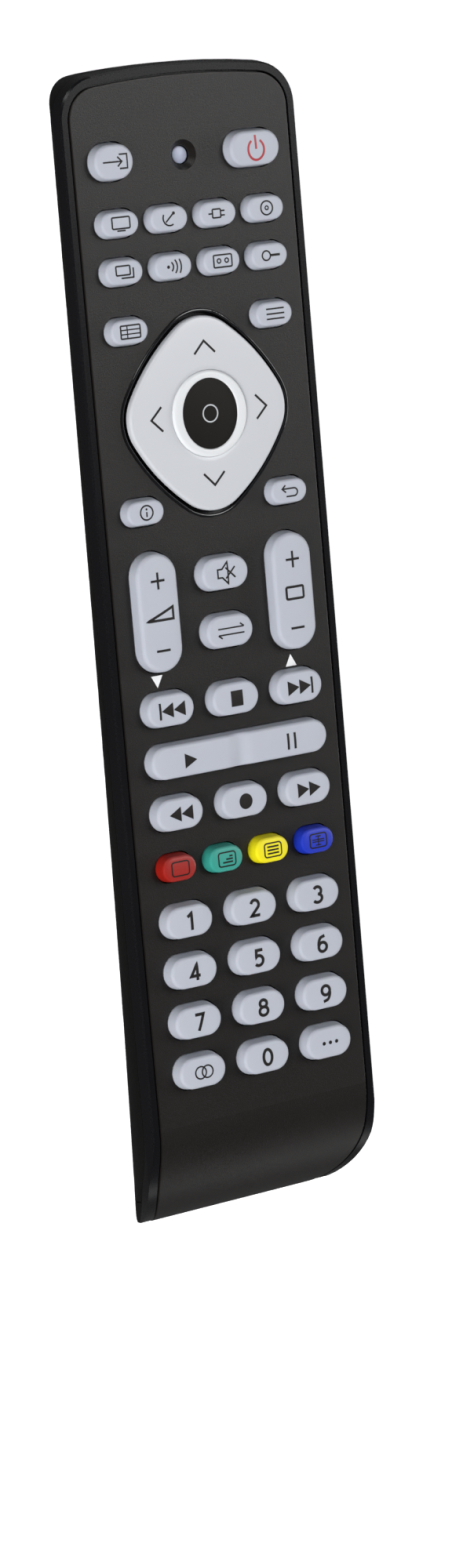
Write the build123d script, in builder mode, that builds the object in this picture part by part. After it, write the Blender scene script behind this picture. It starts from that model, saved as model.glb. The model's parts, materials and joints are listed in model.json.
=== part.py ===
from build123d import *
import os
from math import asin, atan, cos, degrees, radians, sin, sqrt, tan

# A hand-held universal remote control, lying on its flat back.
# Everything is modelled square to the keypad face: z is 0 on the face plate and points
# out of it, y points to the infra-red end, x to the right. The back slopes, so at the end
# every piece is turned about x by the wedge angle and set down on its back.

# Overall sizes, in millimetres
ir_end = 110.25
tail_end = -113.7
body_width = 52.0
tail_depth = 19.65
ir_depth = 10.0
wall = 1.4
overrun = 1.0
seam = 0.12

# Outline seen from the front
end_bow_radius = 160.0
body_corner_radius = 8.5
rim_width = 1.9
groove_width = 0.35
rim_bevel = 0.35
plate_edge_radius = 0.25
edge_tolerance = 0.01
draft_width = 0.4

# Battery end, where the face rolls down to the back
roll_start = -90.7
tail_radius = 23.3
tail_corner_radius = 24.0
tail_corner_place = -98.6
tail_heel_radius = 4.0
ir_heel_radius = 3.0
plate_roll_angle = 72.0

# Belly: how far the flanks curve in at the tail, the middle and the infra-red end
belly_run = {"tail": 11.5, "waist": 19.0, "ir": 17.5}
belly_start = {"tail": 2.9, "waist": 2.2, "ir": 1.7}
waist_place = 21.5
belly_overlap = 0.03

# Layers under the face
plate_thickness = 1.1
floor_thickness = 1.1
flange_thickness = 0.6
flange_width = 0.6
key_travel = 0.7
mat_thickness = 0.45
board_thickness = 0.9
side_height = 2.7
parting_radius = 25.0
key_gap = 0.25

# Keys: end radius, and height above the plate
key_radii = {
    "number": 3.4,
    "source": 2.65,
    "colour": 2.68,
    "input": 3.54,
    "power": 3.55,
    "rocker": 4.65,
    "bar": 3.4,
}
key_heights = {
    "number": 2.85,
    "source": 2.6,
    "colour": 2.7,
    "input": 2.6,
    "power": 2.6,
    "rocker": 2.85,
    "bar": 2.85,
}
input_half_length = 4.42
power_half_length = 5.75
rocker_half_length = 11.5
key_edge_radius = 0.4
plunger_radius = 1.2
plunger_length = 0.5
mat_hole_gap = 0.4

# Lands of the plate beside the outermost key of a row, and between like keys
number_side_land = 3.78
number_land = 3.62
source_side_land = 3.38
source_land = 1.98
colour_side_land = 4.095
colour_land = 2.49
input_side_land = 3.13
power_side_land = 3.35
rocker_side_land = 4.0
bar_side_land = 3.75
keys_across = {"number": 3, "source": 4, "colour": 4}

# Rows, each measured down from the one before it
top_row_inset = 17.35
source_row_drop = 11.4
source_row_pitch = 8.9
guide_row_drop = 11.0
pad_drop = 17.1
info_row_drop = 16.75
mute_row_drop = 13.55
last_row_drop = 11.1
skip_row_drop = 13.0
bar_row_drop = 9.95
wind_row_drop = 10.05
colour_row_drop = 10.4
number_row_drop = 10.5
number_row_pitch = 9.85

# Direction pad
pad_half_width = 17.3
pad_half_length = 18.4
pad_corner_radius = 8.6
pad_side_radius = 40.0
pad_top = 1.5
pad_underside = -0.3
pad_edge_radius = 0.6
pad_gap = 0.7
bezel_width = 0.6
bezel_proud = 0.25
pad_hub_radius = 11.5
pad_hub_gap = 0.6
pad_flange_width = 1.5
pad_flange_top = -2.75
pad_flange_bottom = -3.3
pad_relief_radius = 9.8
pad_relief_top = 0.2
pad_tilt = 2.0
ok_radius = 8.2
ok_gap = 0.25
ok_rise = 2.05
ok_edge_radius = 0.7
ok_disc_radius = 6.5
ok_disc_thickness = 0.5
ok_disc_inset = 0.3
ok_flange_radius = 9.3
ok_flange_bottom = -0.9
ok_flange_thickness = 0.6
pivot_radius = 0.8
pivot_place = 11.6
pivot_gap = 0.1
pivot_height = 0.15

# Rocking keys
rocker_tilt = 2.5
rocker_flange_top = -2.85
bar_tilt = 1.6
bar_flange_top = -2.8
rocking_flange_thickness = 0.5
bar_dip_radius = 4.0
bar_dip_depth = 0.9

# Indicator
lamp_radius = 1.65
lamp_tip = -0.95
lamp_gap = 0.15
lamp_edge_radius = 0.5
lamp_sink_radius = 2.85

# Batteries and their bay
cell_radius = 5.2
cell_length = 43.3
cell_nub_radius = 1.9
cell_nub_length = 1.2
cell_pitch = 11.4
cell_middle = -78.3
cell_top = -5.1
bay_wall = 1.0
bay_clearance = 0.3
bay_ir_wall = -53.0
bay_tail_wall = -102.9
contact_thickness = 0.3
contact_width = 8.0
contact_height = 7.0
spring_thickness = 0.35
spring_width = 4.0
spring_height = 5.0

# Battery cover
door_half_width = 16.5
door_top = -47.5
door_seam = 0.2
cap_split = -105.9
cap_split_height = -6.6
cap_split_foot = -106.5
cap_split_foot_height = -10.0
hook_place = 8.0
hook_width = 5.0
hook_reach = 2.0
hook_root = 3.0
hook_thickness = 0.8
hook_lift = 0.15
grip_place = -62.0
grip_radius = 30.0
grip_depth = 0.7
grip_width = 14.0
grip_length = 9.0

# Infra-red end
window_width = 22.0
window_top = -3.1
window_bottom = -6.6
window_gap = 0.1
led_radius = 1.5
led_pitch = 11.0
led_height = -4.6
led_length = 4.6
led_flange_radius = 1.8
led_flange_length = 0.6
led_setback = 0.5

# Circuit board and what is on it
board_side_gap = 2.3
board_ir_inset = 6.6
board_tail_edge = -86.5
chip_width = 9.0
chip_thickness = 1.3
chip_place = 60.0

# Screws through the shelves beside the bay into bosses under the face
screw_place_x = 14.3
screw_place_y = -90.0
screw_radius = 0.95
screw_head_radius = 1.6
screw_head_height = 1.2
screw_hole_gap = 0.25
boss_radius = 1.9
shelf_top = -10.0
shelf_thickness = 1.2
shelf_half_length = 3.2
screw_length = 7.4

# Levels and slopes worked out from the sizes above
half_width = body_width / 2
wedge_slope = (tail_depth - ir_depth) / (ir_end - tail_end)
wedge_angle = degrees(atan(wedge_slope))
floor_top = -plate_thickness
floor_bottom = floor_top - floor_thickness
flange_bottom = floor_bottom - flange_thickness
plunger_bottom = flange_bottom - plunger_length
board_top = flange_bottom - key_travel - mat_thickness - seam
mat_top = board_top + mat_thickness
board_bottom = board_top - board_thickness
pocket_half_width = half_width - rim_width
pocket_end = ir_end - rim_width - rim_bevel / 2
pocket_corner_radius = body_corner_radius - rim_width
plate_half_width = pocket_half_width - groove_width
plate_end = pocket_end - groove_width
plate_corner_radius = pocket_corner_radius - groove_width


def filling_half_length(kind, side_land, land):
    """Half length of each of the like keys that fill a row between its two side lands."""
    count = keys_across[kind]
    return (plate_half_width - side_land - land * (count - 1) / 2) / count


# Half lengths of the keys, and columns from the middle line
key_half_lengths = {
    "number": filling_half_length("number", number_side_land, number_land),
    "source": filling_half_length("source", source_side_land, source_land),
    "colour": filling_half_length("colour", colour_side_land, colour_land),
    "input": input_half_length,
    "power": power_half_length,
    "rocker": rocker_half_length,
    "bar": plate_half_width - bar_side_land,
}
number_column = 2 * key_half_lengths["number"] + number_land
source_column_pitch = 2 * key_half_lengths["source"] + source_land
colour_column_pitch = 2 * key_half_lengths["colour"] + colour_land
input_column = plate_half_width - input_side_land - input_half_length
power_column = plate_half_width - power_side_land - power_half_length
rocker_column = plate_half_width - rocker_side_land - key_radii["rocker"]

# Row places along y
top_row = ir_end - top_row_inset
source_row = top_row - source_row_drop
guide_row = source_row - source_row_pitch - guide_row_drop
pad_row = guide_row - pad_drop
info_row = pad_row - info_row_drop
mute_row = info_row - mute_row_drop
last_row = mute_row - last_row_drop
rocker_row = (mute_row + last_row) / 2
skip_row = last_row - skip_row_drop
bar_row = skip_row - bar_row_drop
wind_row = bar_row - wind_row_drop
colour_row = wind_row - colour_row_drop
number_row = colour_row - number_row_drop

# Every key that slides: node name, kind, x and y
sliding_keys = [
    ("input_key", "input", -input_column, top_row),
    ("power_key", "power", power_column, top_row),
    ("guide_key", "source", -1.5 * source_column_pitch, guide_row),
    ("menu_key", "source", 1.5 * source_column_pitch, guide_row),
    ("info_key", "source", -1.5 * source_column_pitch, info_row),
    ("back_key", "source", 1.5 * source_column_pitch, info_row),
    ("mute_key", "number", 0, mute_row),
    ("last_key", "number", 0, last_row),
    ("previous_key", "number", -number_column, skip_row),
    ("stop_key", "number", 0, skip_row),
    ("next_key", "number", number_column, skip_row),
    ("rewind_key", "number", -number_column, wind_row),
    ("record_key", "number", 0, wind_row),
    ("forward_key", "number", number_column, wind_row),
]
for index in range(8):
    column = index % keys_across["source"] - 1.5
    row = index // keys_across["source"]
    place = (column * source_column_pitch, source_row - row * source_row_pitch)
    sliding_keys.append((f"source_key_{index + 1}", "source", *place))
for index, colour in enumerate(["red", "green", "yellow", "blue"]):
    sliding_keys.append((f"{colour}_key", "colour", (index - 1.5) * colour_column_pitch, colour_row))
number_names = [f"digit_{digit}_key" for digit in range(1, 10)] + ["sound_key", "digit_0_key", "dash_key"]
for index, key_name in enumerate(number_names):
    column = index % keys_across["number"] - 1
    row = index // keys_across["number"]
    place = (column * number_column, number_row - row * number_row_pitch)
    sliding_keys.append((key_name, "number", *place))


def tail_half_span(half_span, place):
    """Half width at one place along the sides, which draw in towards the tail."""
    centre = half_width - tail_corner_radius
    reach = max(tail_corner_place - place, 0)
    return centre + sqrt((half_span - centre) ** 2 - reach**2)


def plan_outline(half_span, end, corner, foot=tail_end - overrun):
    """Outline seen from the front: straight sides, drawn-in tail and a bowed, round-cornered end."""
    shoulder = end - end_bow_radius + sqrt(end_bow_radius**2 - half_span**2)
    bend = max(tail_corner_place, foot + overrun)
    middle = (bend + foot) / 2
    foot_half = tail_half_span(half_span, foot)
    middle_half = tail_half_span(half_span, middle)
    with BuildSketch() as outline:
        with BuildLine():
            ThreePointArc((-half_span, shoulder), (0, end), (half_span, shoulder))
            Line((half_span, shoulder), (half_span, bend))
            if foot < tail_corner_place:
                ThreePointArc((half_span, bend), (middle_half, middle), (foot_half, foot))
            else:
                Line((half_span, bend), (foot_half, foot))
            Line((foot_half, foot), (-foot_half, foot))
            if foot < tail_corner_place:
                ThreePointArc((-foot_half, foot), (-middle_half, middle), (-half_span, bend))
            else:
                Line((-foot_half, foot), (-half_span, bend))
            Line((-half_span, bend), (-half_span, shoulder))
        make_face()
        fillet(outline.vertices().group_by(Axis.Y)[-1], corner)
    return outline.sketch


def side_outline(inset=0.0):
    """Outline seen from the side: face, rolled tail, sloping back and infra-red end."""
    radius = tail_radius - inset
    back = inset - tail_depth
    drop = -tail_radius - back - wedge_slope * (roll_start - tail_end)
    dip = atan(wedge_slope) + asin(drop / (radius * sqrt(1 + wedge_slope**2)))
    heel = (roll_start - radius * cos(dip), -tail_radius - radius * sin(dip))
    end = ir_end - inset
    end_level = back + wedge_slope * (end - tail_end)
    half = radius * sqrt(0.5)
    with BuildSketch() as outline:
        with BuildLine():
            ThreePointArc((roll_start, -inset), (roll_start - half, half - tail_radius), heel)
            Polyline(heel, (end, end_level), (end, -inset), (roll_start, -inset))
        make_face()
        fillet(outline.vertices().sort_by(Axis.Y)[0], tail_heel_radius - inset)
        fillet(outline.vertices().group_by(Axis.X)[-1].sort_by(Axis.Y)[0], ir_heel_radius - inset)
    return outline.sketch


def roll_band(top_inset, bottom_inset, start_angle, end_angle):
    """Slice of the rolled tail between two depths under the face, seen from the side."""
    outer = tail_radius - top_inset
    inner = tail_radius - bottom_inset
    angles = [start_angle, (start_angle + end_angle) / 2, end_angle]
    outer_points = [(roll_start - outer * sin(radians(a)), outer * cos(radians(a)) - tail_radius) for a in angles]
    inner_points = [(roll_start - inner * sin(radians(a)), inner * cos(radians(a)) - tail_radius) for a in angles]
    with BuildSketch() as band:
        with BuildLine():
            ThreePointArc(*outer_points)
            Line(outer_points[-1], inner_points[-1])
            ThreePointArc(*inner_points)
            Line(inner_points[0], outer_points[0])
        make_face()
    return band.sketch


def belly_section(place, run, start, inset):
    """Cross-section of the body at one place along its length."""
    span = half_width - inset
    side = run - inset
    depth = tail_depth - wedge_slope * (place - tail_end) + belly_overlap - inset
    with BuildSketch(Plane.XZ.offset(-place)) as section:
        with BuildLine():
            Polyline((-span, -start), (-span, overrun), (span, overrun), (span, -start))
            EllipticalCenterArc((span - side, -start), side, depth - start, start_angle=270, arc_size=90)
            Line((span - side, -depth), (side - span, -depth))
            EllipticalCenterArc((side - span, -start), side, depth - start, start_angle=180, arc_size=90)
        make_face()
    return section.sketch


def belly(inset):
    """Long form with curved flanks; face, tail and infra-red end are cut later."""
    places = {"tail": tail_end - overrun, "waist": waist_place, "ir": ir_end + overrun}
    with BuildPart() as form:
        for name, place in places.items():
            add(belly_section(place, belly_run[name], belly_start[name], inset))
        loft()
    return form.part


def slab(sketch, top, bottom):
    """Plain block with a sketched outline between two levels."""
    with BuildPart() as block:
        with BuildSketch(Plane.XY.offset(bottom)):
            add(sketch)
        extrude(amount=top - bottom)
    return block.part


def side_slab(sketch, span):
    """Block with a side outline, as wide as the given half span each way."""
    with BuildPart() as block:
        with BuildSketch(Plane.YZ):
            add(sketch)
        extrude(amount=span, both=True)
    return block.part


def box_between(x_range, y_range, z_range):
    """Block between two corners."""
    size = [high - low for low, high in (x_range, y_range, z_range)]
    middle = [(high + low) / 2 for low, high in (x_range, y_range, z_range)]
    with BuildPart() as block:
        with Locations(Location(tuple(middle))):
            Box(*size)
    return block.part


def key_outline(kind, growth=0.0):
    """Outline of one kind of key, or of the hole round it."""
    length = 2 * (key_half_lengths[kind] + growth)
    turn = 90 if kind == "rocker" else 0
    with BuildSketch() as outline:
        SlotOverall(length, 2 * (key_radii[kind] + growth), rotation=turn)
    return outline.sketch


def pad_outline(growth=0.0):
    """Diamond with bowed sides and round corners."""
    corner = pad_corner_radius + growth
    side = pad_side_radius + growth
    right = pad_half_width - pad_corner_radius
    top = pad_half_length - pad_corner_radius
    span = sqrt(right**2 + top**2)
    reach = side - corner
    back = sqrt(reach**2 - (span / 2) ** 2)
    # centre of the arc along the upper right side
    centre = (right / 2 - back * top / span, top / 2 - back * right / span)
    to_right = ((right - centre[0]) / reach, (0 - centre[1]) / reach)
    to_top = ((0 - centre[0]) / reach, (top - centre[1]) / reach)
    low = (centre[0] + side * to_right[0], centre[1] + side * to_right[1])
    high = (centre[0] + side * to_top[0], centre[1] + side * to_top[1])
    bulge = ((to_right[0] + to_top[0]) / 2, (to_right[1] + to_top[1]) / 2)
    bulge_length = sqrt(bulge[0] ** 2 + bulge[1] ** 2)
    middle = (centre[0] + side * bulge[0] / bulge_length, centre[1] + side * bulge[1] / bulge_length)
    with BuildSketch() as outline:
        with BuildLine():
            ThreePointArc(low, middle, high)
            ThreePointArc((low[0], -low[1]), (pad_half_width + growth, 0), low)
            ThreePointArc(high, (0, pad_half_length + growth), (-high[0], high[1]))
            ThreePointArc((-high[0], high[1]), (-middle[0], middle[1]), (-low[0], low[1]))
            ThreePointArc((-low[0], low[1]), (-pad_half_width - growth, 0), (-low[0], -low[1]))
            ThreePointArc((-low[0], -low[1]), (-middle[0], -middle[1]), (-high[0], -high[1]))
            ThreePointArc((-high[0], -high[1]), (0, -pad_half_length - growth), (high[0], -high[1]))
            ThreePointArc((high[0], -high[1]), (middle[0], -middle[1]), (low[0], -low[1]))
        make_face()
    return outline.sketch


def key_holes(growth):
    """Openings for all keys, the pad's left out."""
    with BuildSketch() as holes:
        for _, kind, x, y in sliding_keys:
            with Locations((x, y)):
                add(key_outline(kind, growth))
        for side in (-1, 1):
            with Locations((side * rocker_column, rocker_row)):
                add(key_outline("rocker", growth))
        with Locations((0, bar_row)):
            add(key_outline("bar", growth))
    return holes.sketch


# Plan of the body with its slightly leaning sides and the bevel round the front edge
plan_levels = [
    (-side_height, 0),
    (-rim_bevel, draft_width),
    (overrun, draft_width + rim_bevel + overrun),
]
with BuildPart() as leaning_plan:
    for level, inset in plan_levels:
        with BuildSketch(Plane.XY.offset(level)):
            add(plan_outline(half_width + belly_overlap - inset, ir_end - inset, body_corner_radius - inset))
    loft(ruled=True)
body_plan = plan_outline(half_width + belly_overlap, ir_end, body_corner_radius)

# Whole outer form
with BuildPart() as envelope:
    add(belly(0))
    with BuildPart(mode=Mode.PRIVATE) as whole_plan:
        add(leaning_plan.part)
        add(slab(body_plan, -side_height, -2 * tail_depth))
    add(whole_plan.part, mode=Mode.INTERSECT)
    add(side_slab(side_outline(), body_width), mode=Mode.INTERSECT)

with BuildPart() as cavity:
    add(belly(wall))
    add(
        slab(plan_outline(half_width - wall, ir_end - wall, body_corner_radius - wall), 0, -2 * tail_depth),
        mode=Mode.INTERSECT,
    )
    add(side_slab(side_outline(wall), body_width), mode=Mode.INTERSECT)


def front_region(lower):
    """Everything in front of the parting line, seen from the side."""
    tip_y = roll_start - parting_radius
    half = parting_radius * sqrt(0.5)
    level = -side_height - lower
    beyond = ir_end + 2 * overrun
    with BuildSketch() as region:
        with BuildLine():
            Line((beyond, level), (roll_start, level))
            arc_end = (tip_y, level - parting_radius)
            ThreePointArc((roll_start, level), (roll_start - half, level - parting_radius + half), arc_end)
            Polyline(arc_end, (tip_y - overrun, arc_end[1]), (tip_y - overrun, overrun * 2), (beyond, overrun * 2))
            Line((beyond, overrun * 2), (beyond, level))
        make_face()
    return region.sketch


# Plate and floor bands follow the flat face and then roll down at the tail
plate_plan = plan_outline(plate_half_width, plate_end, plate_corner_radius)
pocket_plan = plan_outline(pocket_half_width, pocket_end, pocket_corner_radius)
floor_plan = plan_outline(pocket_half_width + groove_width / 2, pocket_end + groove_width / 2, pocket_corner_radius)

with BuildSketch() as plate_band:
    add(roll_band(0, plate_thickness, 0, plate_roll_angle))
    with BuildLine():
        Polyline((roll_start, 0), (ir_end, 0), (ir_end, floor_top), (roll_start, floor_top), close=True)
    make_face()
with BuildSketch() as floor_band:
    add(roll_band(plate_thickness, plate_thickness + floor_thickness, 0, plate_roll_angle))
    with BuildLine():
        Polyline(
            (roll_start, floor_top), (ir_end, floor_top), (ir_end, floor_bottom), (roll_start, floor_bottom),
            close=True,
        )
    make_face()


def front_edges(shape):
    """Edges round a shape's front surface, flat and rolled, but for the one across its tail."""
    picked = []
    for edge in shape.edges():
        middle = edge @ 0.5
        reach = max(roll_start - middle.Y, 0)
        level = sqrt(max(tail_radius**2 - reach**2, 0)) - tail_radius
        across = abs(middle.X) < edge_tolerance and middle.Y < 0
        if abs(middle.Z - level) < edge_tolerance and not across:
            picked.append(edge)
    return picked


# Face plate with its key openings, pad opening and countersunk lamp hole
with BuildPart() as face_plate:
    add(side_slab(plate_band.sketch, body_width))
    add(slab(plate_plan, overrun, -tail_depth), mode=Mode.INTERSECT)
    fillet(front_edges(face_plate.part), plate_edge_radius)
    with BuildSketch(Plane.XY.offset(overrun)):
        add(key_holes(key_gap))
        with Locations((0, pad_row)):
            add(pad_outline(pad_gap + bezel_width + seam / 2))
    extrude(amount=-2 * overrun - plate_thickness, mode=Mode.SUBTRACT)
    with Locations((0, top_row, 0)):
        CounterSinkHole(lamp_radius + lamp_gap, lamp_sink_radius)

# Front case: rim round the plate, floor under it and two screw bosses
with BuildPart() as front_case:
    add(envelope.part)
    add(side_slab(front_region(0), body_width), mode=Mode.INTERSECT)
    add(slab(pocket_plan, overrun, -tail_depth), mode=Mode.SUBTRACT)
    with BuildPart(mode=Mode.PRIVATE) as floor:
        add(side_slab(floor_band.sketch, body_width))
        add(slab(floor_plan, overrun, -tail_depth), mode=Mode.INTERSECT)
    add(floor.part)
    with BuildSketch(Plane.XY.offset(floor_bottom)):
        with Locations((-screw_place_x, screw_place_y), (screw_place_x, screw_place_y)):
            Circle(boss_radius)
    extrude(amount=shelf_top - floor_bottom)
    with BuildSketch(Plane.XY.offset(overrun)):
        add(key_holes(key_gap))
        with Locations((0, pad_row)):
            Circle(pad_hub_radius + pad_hub_gap)
        with Locations((0, top_row)):
            Circle(lamp_radius + lamp_gap)
    extrude(amount=-overrun + floor_bottom - seam, mode=Mode.SUBTRACT)
    with BuildSketch(Plane.XY.offset(shelf_top)):
        with Locations((-screw_place_x, screw_place_y), (screw_place_x, screw_place_y)):
            Circle(screw_radius)
    extrude(amount=screw_length - shelf_thickness, mode=Mode.SUBTRACT)

# Raised gloss ring round the pad
with BuildPart() as pad_bezel:
    with BuildSketch(Plane.XY.offset(floor_top)):
        with Locations((0, pad_row)):
            add(pad_outline(pad_gap + bezel_width))
            add(pad_outline(pad_gap), mode=Mode.SUBTRACT)
    extrude(amount=bezel_proud - floor_top)
    fillet(pad_bezel.edges().group_by(Axis.Z)[-1], bezel_width * 0.45)

# Room the rear shell leaves for the plate and the floor at the tail
tongue = roll_band(-overrun, plate_thickness + floor_thickness + seam, 0, plate_roll_angle + seam)
tongue_plan = plan_outline(pocket_half_width + groove_width, pocket_end, pocket_corner_radius)
with BuildPart() as tongue_room:
    add(side_slab(tongue, body_width))
    add(slab(tongue_plan, overrun, -2 * tail_depth), mode=Mode.INTERSECT)

# Rear shell before it is divided into the case and the battery cover
with BuildPart() as rear_shell:
    add(envelope.part)
    add(cavity.part, mode=Mode.SUBTRACT)
    add(side_slab(front_region(seam), body_width), mode=Mode.SUBTRACT)
    add(tongue_room.part, mode=Mode.SUBTRACT)


def cover_region(growth):
    """The cap at the tail, seen from the side, and the door behind the batteries."""
    deep = -2 * tail_depth
    front = tail_end - 2 * overrun
    with BuildPart() as region:
        with BuildSketch(Plane.YZ):
            with BuildLine():
                Polyline(
                    (cap_split + growth, cap_split_height + side_height),
                    (cap_split + growth, cap_split_height),
                    (cap_split_foot + growth, cap_split_foot_height),
                    (cap_split_foot + growth, deep),
                    (front, deep),
                    (front, cap_split_height + side_height),
                    close=True,
                )
            make_face()
        extrude(amount=body_width, both=True)
    door = box_between(
        (-door_half_width - growth, door_half_width + growth), (front, door_top + growth), (deep, -ir_depth)
    )
    with BuildPart() as whole:
        add(region.part)
        add(door)
    return whole.part


def back_level(place):
    """Height of the flat back at one place along the length."""
    return -tail_depth + wedge_slope * (place - tail_end)


# Rear case with the battery bay and the window opening
bay_half_width = cell_pitch / 2 + cell_radius + bay_clearance
with BuildPart() as bay:
    bay_bottom = back_level(bay_ir_wall) + wall + bay_clearance
    for place in (bay_ir_wall, bay_tail_wall):
        add(box_between((-half_width, half_width), (place, place + bay_wall), (bay_bottom, board_bottom - seam)))
    for side in (-1, 1):
        inner, outer = sorted((side * bay_half_width, side * (bay_half_width + bay_wall)))
        add(box_between((inner, outer), (bay_tail_wall, bay_ir_wall + bay_wall), (bay_bottom, board_bottom - seam)))
        inner, outer = sorted((side * bay_half_width, side * half_width))
        shelf_range = (screw_place_y - shelf_half_length, screw_place_y + shelf_half_length)
        add(box_between((inner, outer), shelf_range, (shelf_top - shelf_thickness, shelf_top)))
    add(cavity.part, mode=Mode.INTERSECT)
    tail_clear = roll_band(-overrun, plate_thickness + floor_thickness + seam, 0, 90)
    add(side_slab(tail_clear, body_width), mode=Mode.SUBTRACT)

window_hole = box_between(
    (-window_width / 2, window_width / 2),
    (ir_end - 2 * wall - overrun, ir_end + overrun),
    (window_bottom, window_top),
)
with BuildPart() as rear_case:
    add(rear_shell.part)
    add(cover_region(door_seam), mode=Mode.SUBTRACT)
    add(bay.part)
    add(window_hole, mode=Mode.SUBTRACT)
    for side in (-1, 1):
        with Locations((side * screw_place_x, screw_place_y, shelf_top)):
            Hole(screw_radius + screw_hole_gap, shelf_thickness + overrun)

# Battery cover: door, tail cap, two hooks at its pivot edge and a thumb hollow
with BuildPart() as battery_cover:
    add(rear_shell.part)
    add(cover_region(0), mode=Mode.INTERSECT)
    for side in (-1, 1):
        x_range = (side * hook_place - hook_width / 2, side * hook_place + hook_width / 2)
        level = back_level(door_top) + wall + hook_lift
        add(box_between(x_range, (door_top - hook_root, door_top + hook_reach), (level, level + hook_thickness)))
        foot_range = (door_top - hook_root, door_top - door_seam)
        add(box_between(x_range, foot_range, (level - 2 * hook_lift, level + hook_lift)))
    grip_level = back_level(grip_place) + grip_depth - grip_radius
    with BuildSketch(Plane.XZ.offset(-grip_place - grip_length / 2)):
        with Locations((0, grip_level)):
            Circle(grip_radius)
    extrude(amount=grip_length, mode=Mode.SUBTRACT)

# Dark window for the infra-red lamps
with BuildPart() as ir_window:
    add(rear_shell.part)
    add(
        box_between(
            (-window_width / 2 + window_gap, window_width / 2 - window_gap),
            (ir_end - 2 * wall - overrun, ir_end + overrun),
            (window_bottom + window_gap, window_top - window_gap),
        ),
        mode=Mode.INTERSECT,
    )

# Circuit board, ending short of the screw bosses
board_half_width = half_width - wall - board_side_gap
board_end = ir_end - board_ir_inset
with BuildPart() as circuit_board:
    with BuildSketch(Plane.XY.offset(board_bottom)):
        add(plan_outline(board_half_width, board_end, body_corner_radius - wall, board_tail_edge))
    extrude(amount=board_thickness)

# Silicone mat: a sheet with a hole round each plunger
with BuildPart() as keypad_mat:
    with BuildSketch(Plane.XY.offset(board_top)):
        add(plan_outline(board_half_width, board_end - wall, body_corner_radius - wall, board_tail_edge))
        for _, kind, x, y in sliding_keys:
            with Locations((x, y)):
                Circle(plunger_radius + mat_hole_gap, mode=Mode.SUBTRACT)
        for side in (-1, 1):
            with Locations((side * rocker_column, rocker_row)):
                add(key_outline("rocker", flange_width + mat_hole_gap), mode=Mode.SUBTRACT)
        with Locations((0, bar_row)):
            add(key_outline("bar", flange_width + mat_hole_gap), mode=Mode.SUBTRACT)
        with Locations((0, pad_row)):
            Circle(pad_hub_radius + pad_flange_width + mat_hole_gap, mode=Mode.SUBTRACT)
        with Locations((0, top_row)):
            Circle(lamp_radius + lamp_gap, mode=Mode.SUBTRACT)
    extrude(amount=mat_thickness)


def sliding_key(kind, x, y):
    """Cap with a rounded top edge, a flange under the case floor and a short plunger."""
    height = key_heights[kind]
    with BuildPart() as key:
        with BuildSketch(Plane.XY.offset(floor_bottom)):
            with Locations((x, y)):
                add(key_outline(kind))
        extrude(amount=height - floor_bottom)
        fillet(key.faces().sort_by(Axis.Z)[-1].edges(), key_edge_radius)
        with BuildSketch(Plane.XY.offset(flange_bottom)):
            with Locations((x, y)):
                add(key_outline(kind, flange_width))
        extrude(amount=flange_thickness)
        with BuildSketch(Plane.XY.offset(plunger_bottom)):
            with Locations((x, y)):
                Circle(plunger_radius)
        extrude(amount=plunger_length)
    return key


def rocking_key(kind, x, y, flange_top):
    """Long cap that rocks about its middle on a flange with running room above it."""
    height = key_heights[kind]
    with BuildPart() as key:
        with BuildSketch(Plane.XY.offset(flange_top)):
            with Locations((x, y)):
                add(key_outline(kind))
        extrude(amount=height - flange_top)
        fillet(key.faces().sort_by(Axis.Z)[-1].edges(), key_edge_radius)
        with BuildSketch(Plane.XY.offset(flange_top - rocking_flange_thickness)):
            with Locations((x, y)):
                add(key_outline(kind, flange_width))
        extrude(amount=rocking_flange_thickness)
    return key


volume_key = rocking_key("rocker", -rocker_column, rocker_row, rocker_flange_top)
channel_key = rocking_key("rocker", rocker_column, rocker_row, rocker_flange_top)
play_pause_key = rocking_key("bar", 0, bar_row, bar_flange_top)
with BuildPart() as dipped_bar:
    add(play_pause_key.part)
    bar_top = key_heights["bar"]
    with BuildSketch(Plane.XZ.offset(-bar_row)):
        with Locations((0, bar_top - bar_dip_depth + bar_dip_radius)):
            Circle(bar_dip_radius)
    extrude(amount=2 * key_radii["bar"], both=True, mode=Mode.SUBTRACT)

# Direction pad: diamond cap on a round hub with a flange under the case floor
with BuildPart() as direction_pad:
    with BuildSketch(Plane.XY.offset(pad_underside)):
        with Locations((0, pad_row)):
            add(pad_outline())
    extrude(amount=pad_top - pad_underside)
    fillet(direction_pad.faces().sort_by(Axis.Z)[-1].edges(), pad_edge_radius)
    with BuildSketch(Plane.XY.offset(pad_flange_bottom)):
        with Locations((0, pad_row)):
            Circle(pad_hub_radius)
    extrude(amount=pad_underside - pad_flange_bottom)
    with BuildSketch(Plane.XY.offset(pad_flange_bottom)):
        with Locations((0, pad_row)):
            Circle(pad_hub_radius + pad_flange_width)
    extrude(amount=pad_flange_top - pad_flange_bottom)
    with BuildSketch(Plane.XY.offset(pad_flange_bottom)):
        with Locations((0, pad_row)):
            Circle(ok_radius + ok_gap)
    extrude(amount=pad_top - pad_flange_bottom + overrun, mode=Mode.SUBTRACT)
    with BuildSketch(Plane.XY.offset(pad_flange_bottom)):
        with Locations((0, pad_row)):
            Circle(pad_relief_radius)
    extrude(amount=pad_relief_top - pad_flange_bottom, mode=Mode.SUBTRACT)

# Two rubber pivots that carry the pad, one under its upper and one under its lower arm
with BuildPart() as pad_pivots:
    with BuildSketch(Plane.XY.offset(pad_flange_bottom - pivot_gap)):
        with Locations((0, pad_row + pivot_place), (0, pad_row - pivot_place)):
            Circle(pivot_radius)
    extrude(amount=-pivot_height)

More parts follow.
